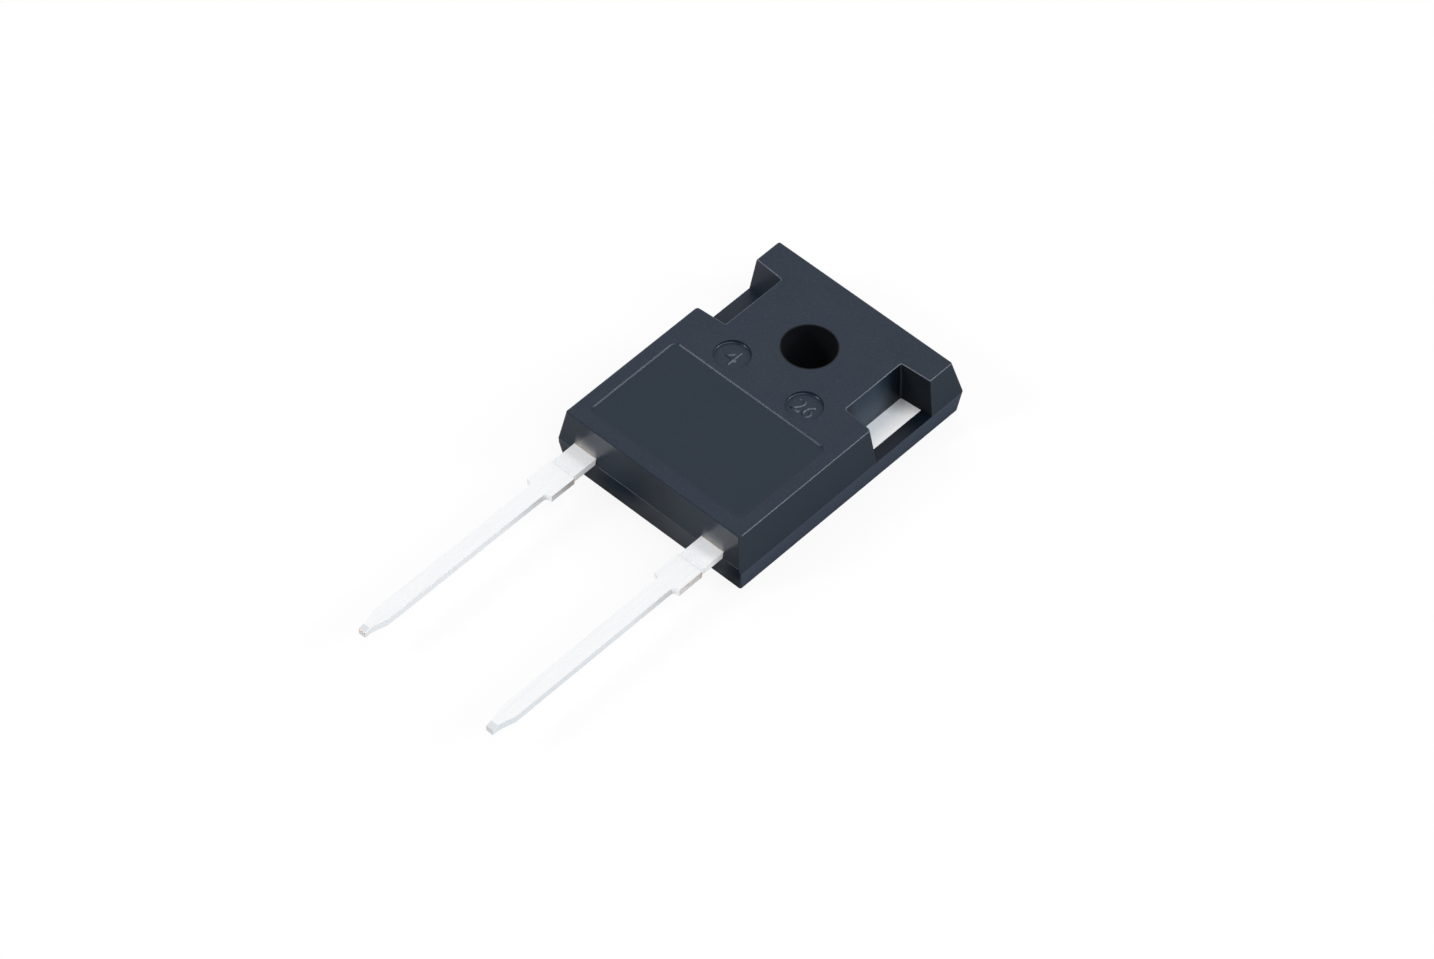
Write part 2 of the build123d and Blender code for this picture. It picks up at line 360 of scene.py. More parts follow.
end_shade_skin, painted_shade_skin = colour(0.0060, 0.0150, 0.0270), colour(0.0010, 0.0060, 0.0150)
painted_reflection_tone = colour(0.3900, 0.3800, 0.3700)
painted_shade_between = mould.most(between_leads, beside_right_lead)
# painted shade: the lead-end wall is darker, darkest between the leads and beside the right one
skin = mould.paint(skin, lead_end, end_shade_skin, share=0.72)
skin = mould.paint(skin, mould.times(lead_end, painted_shade_between), painted_shade_skin, share=0.9)
# painted reflection of each lead in the wall above it
skin = mould.paint(skin, haze, painted_reflection_tone)
print("the haze ends", round((lead_top + haze_height) / MM, 2), "mm above the bench")

# %% [markdown]
# Steel cores form the notches. Their walls are painted darker: painted shade in the hollows,
# strongest at the far corner of the right notch, and at the near end of the left one. In the right
# notch the long wall is painted paler in its middle: painted light from the silver shelf below it.

# %% Mould compound: notches
notch_front, notch_back = -2.45 * MM, 3.15 * MM
notch_wall, shelf_z = 5.04 * MM, 1.90 * MM
on_the_right = mould.ramp(mould.x, 0, 1 * MM)
on_the_left = mould.ramp(mould.x, 1 * MM, -1 * MM)
in_notch = mould.times(
    mould.between(mould.y, notch_front, notch_back, 0.02 * MM),
    mould.ramp(across, notch_wall - 0.02 * MM, notch_wall + 0.02 * MM),
    mould.ramp(mould.z, face_z - 0.02 * MM, face_z - 0.06 * MM),
    mould.ramp(mould.z, shelf_z - 0.10 * MM, shelf_z),
    mould.apart_from(outer_side),
)
right_notch_shade = mould.ramp(mould.y, 0.3 * MM, 1.9 * MM, 0.70, 1.0)
left_notch_shade = mould.ramp(mould.y, -1.2 * MM, 0.8 * MM, 0.60, 0.08)
notch_shade = mould.blend(on_the_left, right_notch_shade, left_notch_shade)
painted_light_wall = mould.times(
    in_notch,
    mould.ramp(mould.facing_x, 0.85, 0.95),
    on_the_right,
    mould.ramp(mould.y, -1.9 * MM, -1.3 * MM),
    mould.ramp(mould.y, 2.2 * MM, 0.4 * MM),
    mould.ramp(mould.z, 2.1 * MM, 2.6 * MM, 0.2, 0.9),
)

notch_shade_tone, lit_skin = colour(0.0020, 0.0050, 0.0100), colour(0.0125, 0.0320, 0.0580)
# painted shade in the notches, deepest at their corners
skin = mould.paint(skin, mould.times(in_notch, notch_shade), notch_shade_tone)
# painted light on the right notch's long wall, from the shelf below it
skin = mould.paint(skin, painted_light_wall, lit_skin)
print("notches are", round((notch_back - notch_front) / MM, 2), "mm long")

# %% [markdown]
# A hair of paler colour is painted along the rims of the marked face: a painted highlight. The
# rim over the lead end is left without it. A rim is found by its slope: it faces neither straight up
# nor sideways.

# %% Mould compound: rims
on_rim = mould.times(
    mould.ramp(mould.z, face_z - 0.10 * MM, face_z - 0.08 * MM),
    mould.between(mould.facing_z, 0.30, 0.95, 0.03),
    mould.ramp(mould.y, face_low.y + 0.15 * MM, face_low.y + 0.22 * MM),
)
painted_rim_highlight = colour(0.1000, 0.1150, 0.1480)
# painted highlight along the rims
skin = mould.paint(skin, on_rim, painted_rim_highlight)
print("rims lie at", round(face_z / MM, 2), "mm")

# %% [markdown]
# How glossy a place is depends on its wall in the tool. The skin is satin, the panel and the lead
# end are smoother, and the eroded sides and the hole are dull. The wall across the right notch
# and the rim over the lead end are almost chalky. The Bevel node rounds what is mirrored at the
# edges without touching the mesh. It is off round the panel and low in the notches, where pieces
# sit so close together that it would smear them.

# %% Mould compound: gloss and grain
polished, notch_gloss, dull_gloss, chalky, rubbed = 0.30, 0.36, 0.75, 0.85, 0.22
facing_near = mould.ramp(mould.facing_y, -0.80, -0.95)
across_notch = mould.times(in_notch, facing_near, on_the_right)
front_rim_y = mould.ramp(mould.y, face_low.y + 0.02 * MM, face_low.y)
front_rim = mould.times(mould.ramp(mould.facing_z, 0.25, 0.35), front_rim_y)

roughness = mould.ramp(grain, 0.3, 0.7, 0.30, 0.38)
roughness = mould.blend(mould.times(in_panel, 0.6), roughness, polished)
roughness = mould.blend(mould.most(mould.times(outer_side, 0.7), in_hole), roughness, dull_gloss)
roughness = mould.blend(lead_end, roughness, polished)
roughness = mould.blend(in_notch, roughness, notch_gloss)
roughness = mould.blend(mould.most(across_notch, front_rim), roughness, chalky)
roughness = mould.blend(on_rim, roughness, rubbed)

panel_margin, edge_radius, grain_depth = 0.15 * MM, 0.06 * MM, 0.0009 * MM
at_panel = mould.times(
    mould.between(mould.x, panel_low.x - panel_margin, panel_high.x + panel_margin, 0.01 * MM),
    mould.between(mould.y, panel_low.y - panel_margin, panel_high.y + panel_margin, 0.01 * MM),
)
at_foot = mould.times(in_notch, mould.ramp(mould.z, face_z - 0.10 * MM, face_z - 0.14 * MM))
rounding = mould.blend(mould.most(at_panel, at_foot), edge_radius, 0.0)
mould.set("Specular IOR Level", 0.25)
mould.surface(skin, roughness, grain, grain_depth, rounding)
nodes["mould_body"].material_slots[0].material = mould.material
print("mould compound:", len(mould.tree.nodes), "nodes")

# %% [markdown]
# ## Tin plating
# The leads and the tab are copper with matt tin on it. Matt tin is a fine crystalline metal: part
# of the light is mirrored in a wide soft lobe, part is scattered like paper. A shader that is only
# partly metallic gives both. Noise that is stretched a long way in one direction turns into lines,
# which makes the faint draw lines along the strip.

# %% Tin: plain plating
tin = Recipe("tin_finish")
crystals = tin.noise(7000, 3, 0.6)
draw_lines = tin.noise(1, 2, 0.5, (14000, 260, 14000))

tin_grey, tin_white = colour(0.900, 0.908, 0.925), colour(0.960, 0.965, 0.980)
tin_line = colour(0.800, 0.820, 0.850)
plating = tin.mix(tin.ramp(crystals, 0.3, 0.7), tin_grey, tin_white)
plating = tin.paint(plating, tin.ramp(draw_lines, 0.45, 0.75, 0.0, 0.35), tin_line)
print("tin, plain plating:", len(tin.tree.nodes), "nodes")

# %% [markdown]
# Between the tie bar and the body the strip was clamped and then blasted with grit. The tin is
# greyer there and looks like fine sand, most of all on top and far from the body. The sides and the
# last stretch before the wall are painted lighter: painted light over the shade that falls there.

# %% Tin: blasted root
on_top = tin.ramp(tin.facing_z, 0.7, 0.9)
near_root = tin.ramp(tin.y, tie_bar_y - 0.02 * MM, tie_bar_y + 0.02 * MM)
towards_body = tin.ramp(tin.y, tie_bar_y, front_y)
sand = tin.ramp(tin.noise(8000, 2, 0.7), 0.35, 0.65)

blasted = tin.mix(sand, colour(0.720, 0.746, 0.770), colour(0.855, 0.868, 0.882))
painted_light_tin = tin.mix(sand, colour(0.915, 0.930, 0.945), colour(0.985, 0.985, 0.985))
# painted light: the sides and the stretch next to the body are lighter
root_tin = tin.mix(tin.most(tin.apart_from(on_top), towards_body), blasted, painted_light_tin)
plating = tin.paint(plating, near_root, root_tin)
print("blasted stretch is", round((front_y - tie_bar_y) / MM, 2), "mm long")

# %% [markdown]
# Where the press cut the leadframe after plating, bare copper shows: on the outer edges of the wide
# stretch, where the tie bar was, and high up on the end of each tip. The punch drags some tin over
# the cut, so the copper starts full height at one end of the wide stretch and narrows to a thin
# strip at the other. Noise is added to the height before it is compared, which makes the border
# wander. A faint line crosses the top where the tie bar's edge was.

# %% Tin: bare copper on the cuts
on_edge = tin.ramp(tin.size(tin.facing_x), 0.75, 0.9)
in_collar = tin.between(tin.y, shoulder_y + 0.02 * MM, tie_bar_y - 0.01 * MM, 0.03 * MM)
along_cut = tin.ramp(tin.y, tie_bar_y, shoulder_y, 0.02, 0.84)
up_the_cut = tin.ramp(tin.z, lead_bottom, lead_top)
wander = tin.ramp(tin.noise(2600, 3), 0.2, 0.8, -0.22, 0.22)
above_drag = tin.minus(tin.plus(up_the_cut, wander), along_cut)
bare_side = tin.times(on_edge, in_collar, tin.ramp(above_drag, -0.04, 0.06))

facing_end = tin.ramp(tin.facing_y, -0.75, -0.9)
facing_out_at_end = tin.ramp(tin.facing_y, -0.20, -0.35)
tip_face = tin.times(facing_end, tin.ramp(tin.y, tip_y + 0.05 * MM, tip_y + 0.02 * MM))
sheared = tin.times(facing_out_at_end, tin.ramp(tin.y, tip_y + 0.05 * MM, tip_y + 0.03 * MM))
torn = tin.ramp(tin.x, -lead_x, lead_x, 0.21, 0.10)
copper_height = tin.plus(tin.plus(up_the_cut, tin.times(wander, 0.5)), torn)
bare_tip = tin.times(sheared, tin.ramp(copper_height, 0.78, 0.90))
coined_tip = tin.ramp(tin.y, tip_y + 0.48 * MM, tip_y + 0.42 * MM)
cut_line = tin.times(on_top, tin.between(tin.y, tie_bar_y - 0.02 * MM, tie_bar_y + 0.02 * MM, 0.03 * MM))

copper_patches = tin.ramp(tin.noise(3500, 2), 0.3, 0.7)
copper = tin.mix(copper_patches, colour(0.760, 0.640, 0.580), colour(0.920, 0.850, 0.810))
coined_tin, cut_tin = colour(0.720, 0.770, 0.810), colour(0.570, 0.575, 0.570)
torn_copper, line_tin = colour(0.500, 0.330, 0.220), colour(0.550, 0.560, 0.580)
plating = tin.paint(plating, coined_tip, coined_tin, share=0.68)
plating = tin.paint(plating, bare_side, copper, share=0.8)
plating = tin.paint(plating, tip_face, cut_tin, share=0.8)
plating = tin.paint(plating, bare_tip, torn_copper, share=0.85)
plating = tin.paint(plating, cut_line, line_tin, share=0.30)
print("copper edge is", round((tie_bar_y - shoulder_y) / MM, 2), "mm long")

# %% [markdown]
# The sides of the blades are painted a shade greyer: painted shade, a little more so towards the
# tips and on the right lead. Inside the moulding the tab was never blasted or drawn, so its shelf is a
# clean white with soft clouds. Deep in the notch it is painted cooler and darker, darkest at the far
# corner: painted shade in the hollow.

# %% Tin: greyer blade sides and the shelf
blade_sides = tin.times(on_edge, tin.ramp(tin.y, shoulder_y + 0.1 * MM, shoulder_y))
along_blade = tin.ramp(tin.y, shoulder_y, shoulder_y - 5.0 * MM, 0.12, 0.66)
per_lead = tin.ramp(tin.x, -lead_x, lead_x, 1.0, 1.45)
painted_side_shade = colour(0.700, 0.740, 0.775)
# painted shade on the sides of the blades
plating = tin.paint(plating, tin.times(blade_sides, along_blade, per_lead), painted_side_shade)

inside = tin.ramp(tin.y, front_y, front_y + 0.1 * MM)
from_middle = tin.size(tin.x)
deep = tin.ramp(from_middle, 6.6 * MM, 5.8 * MM)
far_corner = tin.times(tin.ramp(tin.y, 1.3 * MM, 2.9 * MM), tin.ramp(from_middle, 6.5 * MM, 5.5 * MM))
clouds = tin.ramp(tin.noise(2600, 4, 0.6), 0.3, 0.7)
open_tin = tin.mix(clouds, colour(0.940, 0.955, 0.970), colour(0.990, 0.995, 1.000))
painted_deep_shade = tin.mix(clouds, colour(0.830, 0.885, 0.945), colour(0.890, 0.945, 1.000))
corner_shade_share = tin.blend(deep, 0.30, 0.92)
painted_corner_shade = colour(0.400, 0.410, 0.420)
# painted shade: the shelf is cooler and darker deep in the notch and darkest at the far corner
plating = tin.paint(plating, inside, tin.mix(deep, open_tin, painted_deep_shade))
plating = tin.paint(plating, tin.times(inside, far_corner, corner_shade_share), painted_corner_shade)
print("tin, all colours:", len(tin.tree.nodes), "nodes")

# %% [markdown]
# Last comes how much of the light the tin mirrors. The blades mirror a good half. The blasted root
# and the bends, where the tin cracked as it was formed, scatter nearly all of it. So does the
# shelf. A bend is found by its slope, like the rims of the moulding.

# %% Tin: bends, gloss and crystals
elsewhere = tin.apart_from(tin.most(inside, coined_tip))
bend = tin.times(tin.between(tin.size(tin.facing_z), 0.30, 0.985, 0.01), elsewhere)
lit_bend = tin.times(bend, tin.ramp(tin.facing_x, 0.1, 0.3), tin.apart_from(near_root))
painted_bend_shade = colour(0.740, 0.765, 0.790)
# painted shade: bends that face right are painted greyer to tame their highlight
plating = tin.paint(plating, lit_bend, painted_bend_shade)

blade_mirror, root_mirror, shelf_mirror, deep_mirror, bend_mirror = 0.58, 0.12, 0.02, 0.13, 0.10
lead_share = tin.blend(near_root, blade_mirror, root_mirror)
shelf_share = tin.blend(deep, shelf_mirror, deep_mirror)
mirror_share = tin.blend(inside, lead_share, shelf_share)
mirror_share = tin.blend(bend, mirror_share, bend_mirror)

root_gloss, shelf_gloss, bend_gloss = 0.18, 0.12, 0.60
roughness = tin.blend(near_root, tin.ramp(crystals, 0.3, 0.7, 0.30, 0.35), root_gloss)
roughness = tin.blend(inside, roughness, shelf_gloss)
roughness = tin.blend(bend, roughness, bend_gloss)
tin_relief = tin.plus(crystals, tin.times(draw_lines, 0.5))
tin.set("Metallic", mirror_share)
tin.set("Specular IOR Level", 0.5)
tin.surface(plating, roughness, tin_relief, 0.0009 * MM, 0)
print("tin plating:", len(tin.tree.nodes), "nodes")

# %% [markdown]
# A stamped strip never has knife edges. The packed mesh is welded, its flat faces are joined into
# single polygons, and a narrow bevel then rounds every sharp edge. The modifiers only dress the
# solid: the packed mesh under them stays as it is.

# %% Round the edges of the strip
def round_edges(node, width):
    """Welds a packed node, cleans its flat faces and rounds its sharp edges, all with modifiers."""
    piece = nodes[node]
    weld = piece.modifiers.new("weld", "WELD")
    weld.merge_threshold = 0.001 * MM
    clean = piece.modifiers.new("clean", "DECIMATE")
    clean.decimate_type = "DISSOLVE"
    clean.angle_limit = radians(0.5)
    bevel = piece.modifiers.new("round", "BEVEL")
    bevel.width = width
    bevel.segments = 2
    bevel.limit_method = "ANGLE"
    bevel.angle_limit = radians(30)
    even = piece.modifiers.new("even", "WEIGHTED_NORMAL")
    even.keep_sharp = True
    dressed = piece.evaluated_get(bpy.context.evaluated_depsgraph_get()).to_mesh()
    print(node, "now has", len(dressed.polygons), "faces")


for node in ("cathode_tab", "anode_lead"):
    nodes[node].material_slots[0].material = tin.material
    round_edges(node, 0.025 * MM)

# %% [markdown]
# ## Chip, solder and bond wires
# These lie inside the epoxy and only show when someone takes the body away, but a part that is cut
# open should look right too. The chip is a hard greenish-grey crystal, the solder is a dull grey
# metal with a slightly lumpy skin, and the wires are drawn aluminium with fine lines. The three
# differ only in their pattern, two colours and gloss, so one function makes them all.

# %% Finishes inside the epoxy
def inner_finish(recipe, pattern, metallic, colours, gloss, depth):
    """A finish that runs between two colours and two roughnesses with its pattern."""
    recipe.set("Metallic", metallic)
    tone = recipe.mix(pattern, *colours)
    recipe.surface(tone, recipe.ramp(pattern, 0.3, 0.7, *gloss), pattern, depth, 0.01 * MM)
    print(recipe.material.name, "has", len(recipe.tree.nodes), "nodes")
    return recipe.material


chip, solder = Recipe("silicon_carbide_finish"), Recipe("solder_finish")
wire = Recipe("drawn_aluminium_finish")
crystal_tones = colour(0.150, 0.200, 0.180), colour(0.260, 0.300, 0.280)
solder_tones = colour(0.450, 0.450, 0.460), colour(0.620, 0.620, 0.630)
wire_tones = colour(0.780, 0.780, 0.790), colour(0.880, 0.880, 0.890)
bloom, lumps = chip.noise(2500, 3), solder.noise(4000, 4)
lines = wire.noise(1, 2, 0.5, (22000, 900, 22000))
chip_finish = inner_finish(chip, bloom, 0.3, crystal_tones, (0.15, 0.28), 0.001 * MM)
solder_finish = inner_finish(solder, lumps, 1.0, solder_tones, (0.35, 0.55), 0.004 * MM)
wire_finish = inner_finish(wire, lines, 1.0, wire_tones, (0.25, 0.40), 0.001 * MM)

nodes["sic_die"].material_slots[0].material = chip_finish
nodes["die_solder"].material_slots[0].material = solder_finish
for number in (1, 2, 3):
    nodes[f"bond_wire_{number}"].material_slots[0].material = wire_finish

# %% [markdown]
# ## Numbers in the ejector marks
# Two steel pins push the body out of its tool and leave a round dent each. The pins carry a plain
# cavity number, which comes out raised in the dent. The strokes could be modelled one by one, but a
# text object already has them: each number is a short text, thickened and given a small bevel,
# turned into a mesh without its buried back, and set on the floor of its dent.

# %% Helpers for pieces and raised numbers
def add_piece(name, mesh, material):
    """Puts a finished mesh in the scene as a piece of the moulding that rides on the object."""
    mesh.materials.clear()
    mesh.materials.append(material)
    piece = bpy.data.objects.new(name, mesh)
    bpy.context.scene.collection.objects.link(piece)
    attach(piece, "root")
    print(name, "has", len(mesh.polygons), "faces")
    return piece


def text_mesh(name, digits):
    """The digits as a bevelled mesh of unit text size, open at the back."""
    text = bpy.data.curves.new(name, "FONT")
    text.body = digits
    text.size = 1.0
    text.resolution_u = 4
    text.bevel_depth = 0.042
    text.bevel_resolution = 0
    text.offset = -0.030
    holder = bpy.data.objects.new(name + "_text", text)
    bpy.context.scene.collection.objects.link(holder)
    mesh = bpy.data.meshes.new_from_object(holder)
    bpy.data.objects.remove(holder)
    build = bmesh.new()
    build.from_mesh(mesh)
    buried = [face for face in build.faces if face.calc_center_median().z < -0.001]
    bmesh.ops.delete(build, geom=buried, context="FACES")
    build.to_mesh(mesh)
    build.free()
    return mesh


def raised_number(name, digits, centre, height, relief, material):
    """A number of this height, standing up by its relief from the point at its centre."""
    mesh = text_mesh(name, digits)
    low, high = span([v.co for v in mesh.vertices])
    scale = height / (high.y - low.y)
    rise = relief / (high.z - low.z)
    for vertex in mesh.vertices:
        flat = (vertex.co - (low + high) / 2) * scale
        vertex.co = centre + Vector((flat.x, flat.y, (vertex.co.z - low.z) * rise))
    return add_piece(name, mesh, material)


print("number helpers are ready")

# %% [markdown]
# The digits are resin like the rest, with the slopes that face right painted paler: a painted
# highlight. The foot of each number is set a hair below the floor of its dent, so no gap can show between
# them.

# %% Raise the cavity numbers
figure = Recipe("raised_number_finish")
wear = figure.noise(3000, 3)
on_slope = figure.times(
    figure.between(figure.facing_z, 0.30, 0.95, 0.02), figure.ramp(figure.facing_x, 0.15, 0.45)
)
digit_highlight_tone = figure.mix(wear, colour(0.0900, 0.1050, 0.1350), colour(0.1400, 0.1550, 0.1900))
digit_skin = figure.mix(wear, resin_deep, colour(0.0160, 0.0260, 0.0420))
# painted highlight on the slopes that face right
digit_tone = figure.mix(on_slope, digit_skin, digit_highlight_tone)
figure.set("Specular IOR Level", 0.30)
figure.surface(digit_tone, figure.blend(on_slope, 0.34, 0.24), wear, 0.0002 * MM, 0)

foot_depth, number_relief = 0.005 * MM, 0.075 * MM
for side, (digits, height) in enumerate((("4", 1.35 * MM), ("26", 1.15 * MM))):
    low, high = discs[side]
    foot = Vector(((low.x + high.x) / 2, (low.y + high.y) / 2, disc_z - foot_depth))
    raised_number(f"cavity_number_{side + 1}", digits, foot, height, number_relief, figure.material)

# %% [markdown]
# ## Sloped edges of the panel and the marks
# The insert that forms the panel and the two pins have worn edges, so their floors do not drop
# straight down from the marked face: a narrow slope leads down to them, and it shows as a thin
# bright line. A bevel on the whole body would round everything, so each slope is a band of its own
# between two loops. Round the panel it is steep on two sides and gentle on the other two, as the
# insert wore unevenly.

# %% Helpers for the bands
def rounded_rectangle(low, high, radius, steps):
    """Corners of a rectangle with round corners, as x and y, one turn anticlockwise."""
    loop = []
    centres = ((high.x - radius, high.y - radius), (low.x + radius, high.y - radius),
               (low.x + radius, low.y + radius), (high.x - radius, low.y + radius))
    for quarter, (centre_x, centre_y) in enumerate(centres):
        for step in range(steps + 1):
            turn = (quarter + step / steps) * pi / 2
            loop.append((centre_x + radius * cos(turn), centre_y + radius * sin(turn)))
    return loop


def circle(low, high, inset, steps):
    """Corners of the round outline that fits a box, made smaller by an inset."""
    middle, radius = (low + high) / 2, (high.x - low.x) / 2 - inset
    turns = [step / steps * 2 * pi for step in range(steps)]
    return [(middle.x + radius * cos(turn), middle.y + radius * sin(turn)) for turn in turns]


def finish_build(name, build, material):
    """Turns a mesh that was being built into a piece of the moulding."""
    mesh = bpy.data.meshes.new(name)
    build.to_mesh(mesh)
    build.free()
    return add_piece(name, mesh, material)


def sloped_edge(name, outer, outer_z, inner, inner_z, material):
    """A narrow band that slopes from an outer loop down to an inner one."""
    build = bmesh.new()
    upper = [build.verts.new((x, y, outer_z)) for x, y in outer]
    lower = [build.verts.new((x, y, inner_z)) for x, y in inner]
    for index in range(len(upper)):
        after = (index + 1) % len(upper)
        face = build.faces.new((upper[index], upper[after], lower[after], lower[index]))
        face.smooth = True
    return finish_build(name, build, material)


print("band helpers are ready")

# %% [markdown]
# The bands are resin that the worn steel left smooth. Slopes that face right or towards the leads
# are painted as lit and bluer than the others, and those that look right are the palest: a painted
# highlight.

# %% Slope the edges of the panel and the marks
worn = Recipe("worn_edge_finish")
rub = worn.noise(3000, 3)
dark_side = worn.mix(rub, colour(0.0140, 0.0220, 0.0370), colour(0.0195, 0.0275, 0.0440))
lit_side = worn.mix(rub, colour(0.0120, 0.0260, 0.0480), colour(0.0180, 0.0350, 0.0600))
# painted highlight on the slopes that look right
lit_side = worn.paint(lit_side, worn.ramp(worn.facing_x, 0.30, 0.55), colour(0.0400, 0.0560, 0.0800))
towards_light = worn.ramp(worn.minus(worn.facing_x, worn.facing_y), 0.1, 0.4)
worn_tone = worn.mix(towards_light, dark_side, lit_side)
worn.set("Specular IOR Level", 0.16)
worn.surface(worn_tone, worn.ramp(rub, 0.3, 0.7, 0.26, 0.30), rub, 0.0001 * MM, 0)

panel_corner, corner_steps = 0.45 * MM, 8
steep, gentle = 0.082 * MM, 0.25 * MM
drop = face_z - panel_z
inner_low = panel_low + Vector((steep, gentle, 0))
inner_high = panel_high - Vector((gentle, steep, 0))
outer = rounded_rectangle(panel_low, panel_high, panel_corner, corner_steps)
inner = rounded_rectangle(inner_low, inner_high, panel_corner - steep, corner_steps)
sloped_edge("panel_edge", outer, face_z - 0.02 * drop, inner, panel_z + 0.01 * drop, worn.material)

mark_slope, mark_rise, mark_clearance, mark_steps = 0.055 * MM, 0.046 * MM, 0.001 * MM, 48
for side, (low, high) in enumerate(discs):
    outer, inner = circle(low, high, 0, mark_steps), circle(low, high, mark_slope, mark_steps)
    top, bottom = disc_z + mark_rise, disc_z + mark_clearance
    sloped_edge(f"mark_edge_{side + 1}", outer, top, inner, bottom, worn.material)

# %% [markdown]
# ## Flash along the parting line
# The two halves of the tool meet half-way up the body. A hair of resin creeps between them and
# stays on the part as a thin ragged ridge, paler than the body because it is so thin. At the lead
# end it runs at the height of the leads, and the leads break it into three stretches. The ridge is
# made as a row of small triangles joined along its length, with a height that wanders. The random
# numbers start from a fixed seed, so that the ridge is the same each time.

# %% Helper for a ragged ridge
def ridge(name, points, outward, widths, heights, material):
    """A ridge with a triangular section that runs through points; outward is the way it stands up."""
    build = bmesh.new()
    rows = []
    for index, point in enumerate(points):
        ahead = points[min(index + 1, len(points) - 1)] - points[max(index - 1, 0)]
        sideways = ahead.cross(outward).normalized() * widths[index] / 2
        base = point - outward * 0.01 * MM
        corners = (base - sideways, point + outward * heights[index], base + sideways)
        rows.append([build.verts.new(corner) for corner in corners])
    for first, second in zip(rows, rows[1:]):
        for corner in range(3):
            after = (corner + 1) % 3
            build.faces.new((first[corner], first[after], second[after], second[corner]))
    build.faces.new(reversed(rows[0]))
    build.faces.new(rows[-1])
    bmesh.ops.recalc_face_normals(build, faces=build.faces)
    return finish_build(name, build, material)


print("ridge helper is ready")

# %% [markdown]
# The flash has its own finish, paler and rougher than the skin. The middle stretch is full at the
# left lead and fades towards the right one, where the tool closed tighter.

# %% Build the flash
flash = Recipe("flash_finish")
fleck = flash.noise(6000, 3)
flash_tone = flash.mix(fleck, colour(0.0450, 0.0480, 0.0560), colour(0.1150, 0.1080, 0.1080))
flash.set("Specular IOR Level", 0.3)
flash.surface(flash_tone, flash.ramp(fleck, 0.3, 0.7, 0.40, 0.60), fleck, 0.002 * MM, 0.01 * MM)

rng = random.Random(7)
full_height, thinnest, thickening, spacing = 0.035 * MM, 0.04, 0.015, 0.12 * MM
gap = root_half + 0.03 * MM
stretches = {
    "left": (-body_high.x + 0.12 * MM, -lead_x - gap, 0.6, 0.6),
    "middle": (-lead_x + gap, lead_x - gap, 1.0, 0.1),
    "right": (lead_x + gap, body_high.x - 0.20 * MM, 0.5, 0.5),
}
for place, (start, end, first_share, last_share) in stretches.items():
    count = max(12, round((end - start) / spacing))
    along = [index / (count - 1) for index in range(count)]
    points = [Vector((start + (end - start) * t, front_y, lead_bottom)) for t in along]
    ragged = [rng.uniform(0.55, 1.0) for _ in along]
    shares = [first_share + (last_share - first_share) * t for t in along]
    heights = [r * share * full_height for r, share in zip(ragged, shares)]
    widths = [(thinnest + thickening * r) * MM for r in ragged]
    ridge(f"parting_flash_{place}", points, Vector((0, -1, 0)), widths, heights, flash.material)

# %% [markdown]
# ## Resin round the lead roots
# Where each lead leaves the body, a bead of resin has bled along the copper and browned in the
# plating bath. Over the top of the lead it is so thin that the tin shines through, and it is pale.
# The bead is no thicker than a hair: a narrow frame round the strip, against the body. The wall
# behind it leans back both ways from the parting line, and the frame leans with it.

# %% Bead finish
bleed = Recipe("resin_bleed_finish")
stain = bleed.noise(5000, 3)
over_top = bleed.ramp(bleed.z, lead_top - 0.010 * MM, lead_top)
dark_bleed = bleed.mix(stain, colour(0.0200, 0.0130, 0.0100), colour(0.0600, 0.0400, 0.0300))
pale_bleed = bleed.mix(stain, colour(0.2400, 0.1800, 0.1400), colour(0.5200, 0.4300, 0.3500))
bleed_tone = bleed.mix(over_top, dark_bleed, pale_bleed)
bleed.surface(bleed_tone, bleed.ramp(stain, 0.3, 0.7, 0.35, 0.6), stain, 0.002 * MM, 0.01 * MM)
print("bead finish:", len(bleed.tree.nodes), "nodes")


# %% [markdown]
# Each frame has three rings of four corners: one that stands out from the wall and two that are
# sunk into it, so the frame is closed on all sides.

# %% Frame each root with its bead
def frame_corners(centre_x, reach, lean):
    """The four corners of a lead's outline on the wall, grown by a reach."""
    corners = []
    bottom, top = lead_bottom - reach, lead_top + reach
    for side, height in ((-1, bottom), (1, bottom), (1, top), (-1, top)):
        wall_y = front_y + abs(height - lead_bottom) * lean
        corners.append((centre_x + side * (root_half + reach), wall_y, height))
    return corners


def root_bead(name, centre_x, thickness, lean, material):
    """A thin frame round a lead's section, standing on the wall that the lead comes out of."""
    build = bmesh.new()
    sunk = 0.01 * MM
    inner = frame_corners(centre_x, 0.0, lean)
    outer = frame_corners(centre_x, thickness, lean)
    rings = (
        [build.verts.new((x, y - thickness, z)) for x, y, z in inner],
        [build.verts.new((x, y + sunk, z)) for x, y, z in outer],
        [build.verts.new((x, y + sunk, z)) for x, y, z in inner],
    )
    for index in range(4):
        after = (index + 1) % 4
        for ring, following in zip(rings, rings[1:] + rings[:1]):
            build.faces.new((ring[index], ring[after], following[after], following[index]))
    bmesh.ops.recalc_face_normals(build, faces=build.faces)
    return finish_build(name, build, material)


bead_thickness, wall_lean = 0.035 * MM, 0.124
for number, centre_x in ((1, -lead_x), (2, lead_x)):
    root_bead(f"root_bead_{number}", centre_x, bead_thickness, wall_lean, bleed.material)

# %% [markdown]
# ## Floor
# A small part like this is shown on white. A stronger lamp would make a pale floor white, but it
# would wash out the part too. The floor is a plain pale sheet that takes the shadow, and what is
# seen of it, straight or mirrored in the tin, is lifted to white with the light path: part of the
# sheet glows for those rays only, so it sends no extra light onto the part.

